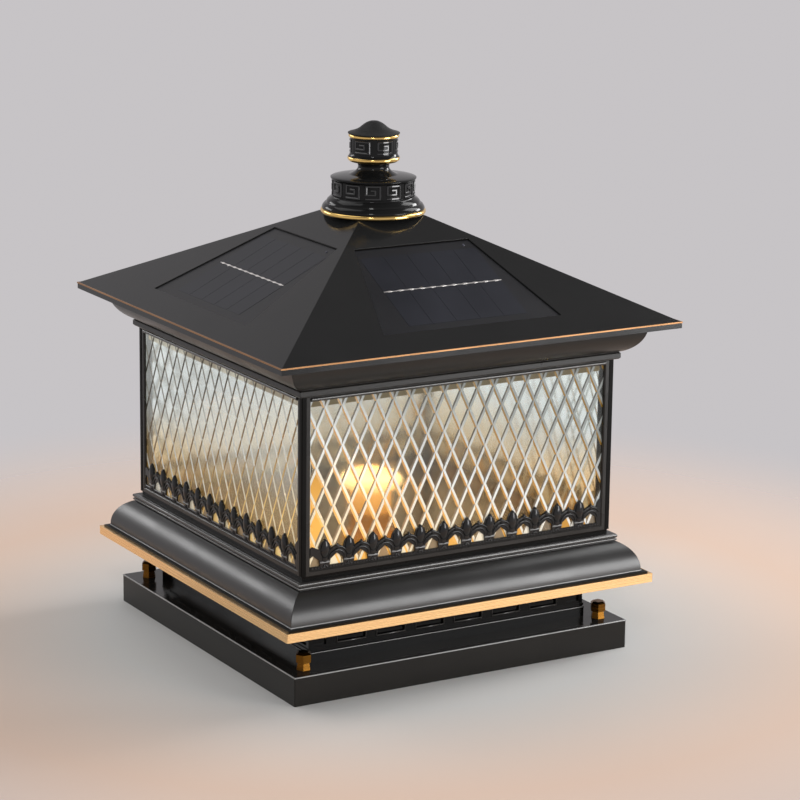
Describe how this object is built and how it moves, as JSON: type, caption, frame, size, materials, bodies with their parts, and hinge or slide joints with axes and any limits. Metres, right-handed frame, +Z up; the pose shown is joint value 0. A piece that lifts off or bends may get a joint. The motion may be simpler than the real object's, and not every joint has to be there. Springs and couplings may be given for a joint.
{
  "type": "solar post light",
  "caption": "Square solar pillar lantern: hipped roof with inset solar panels, diamond-pressed glass cabin, moulded skirt and bolt-down base, topped by a turned finial.",
  "frame": {"origin": "centre of the base plate's underside", "axes": "+Z up along the lamp's axis, -Y out of the front pane, +X to the right"},
  "size_m": [0.3006, 0.3006, 0.3521],
  "materials": {
    "black_metal": "satin black powder coat on aluminium",
    "roof_metal": "satin black powder coat on aluminium",
    "grey_bezel": "satin grey coat on aluminium",
    "gloss_black": "gloss black coat on a casting, with gilt rings and key pattern",
    "gold_band": "polished gold-coloured trim",
    "copper_trim": "satin copper-coloured line",
    "brass_nut": "polished brass",
    "pressed_glass": "clear pressed glass with a diamond lattice",
    "cresting_black": "gloss black with small gilt edges",
    "solar_cell": "dark blue-black cells under smooth cover glass",
    "zinc_steel": "zinc-plated steel",
    "lamp_socket": "amber moulded plastic",
    "diffuser": "warm white diffuser, lit from inside",
    "box_plastic": "black moulded plastic",
    "battery_wrap": "blue shrink wrap",
    "circuit_board": "green circuit board",
    "button_red": "red moulded plastic"
  },
  "bodies": {
    "lantern": {"anchor_cap_nuts": "brass_nut", "base_plate": "black_metal", "battery_box": "box_plastic", "battery_pack": "battery_wrap", "bulb": "diffuser", "ceiling_plate": "black_metal", "controller_board": "circuit_board", "corner_post_front_left": "black_metal", "corner_post_front_right": "black_metal", "corner_post_rear_left": "black_metal", "corner_post_rear_right": "black_metal", "cornice_front": "black_metal", "cornice_left": "black_metal", "cornice_rear": "black_metal", "cornice_right": "black_metal", "cresting_front": "cresting_black", "cresting_left": "cresting_black", "cresting_rear": "cresting_black", "cresting_right": "cresting_black", "eave_trim": "copper_trim", "finial": "gloss_black", "finial_base_ring": "gold_band", "floor_plate": "black_metal", "glass_pane_front": "pressed_glass", "glass_pane_left": "pressed_glass", "glass_pane_rear": "pressed_glass", "glass_pane_right": "pressed_glass", "lamp_socket": "lamp_socket", "pane_frame_front": "grey_bezel", "pane_frame_left": "grey_bezel", "pane_frame_rear": "grey_bezel", "pane_frame_right": "grey_bezel", "riser": "black_metal", "roof_shell": "roof_metal", "skirt_band_front": "gold_band", "skirt_band_left": "gold_band", "skirt_band_rear": "gold_band", "skirt_band_right": "gold_band", "skirt_moulding_front": "black_metal", "skirt_moulding_left": "black_metal", "skirt_moulding_rear": "black_metal", "skirt_moulding_right": "black_metal", "skirt_plate": "black_metal", "solar_panel_front": "solar_cell", "solar_panel_left": "solar_cell", "solar_panel_rear": "solar_cell", "solar_panel_right": "solar_cell", "stud_nut": "zinc_steel", "switch_body": "box_plastic"},
    "button": {"power_button": "button_red"}
  },
  "joints": [
    {"name": "power_press", "type": "slide", "parent": "lantern", "child": "button", "axis": [0, 0, 1], "range_m": [0, 0.0025], "stiffness_N_per_m": 350, "springref_m": -0.002}
  ]
}
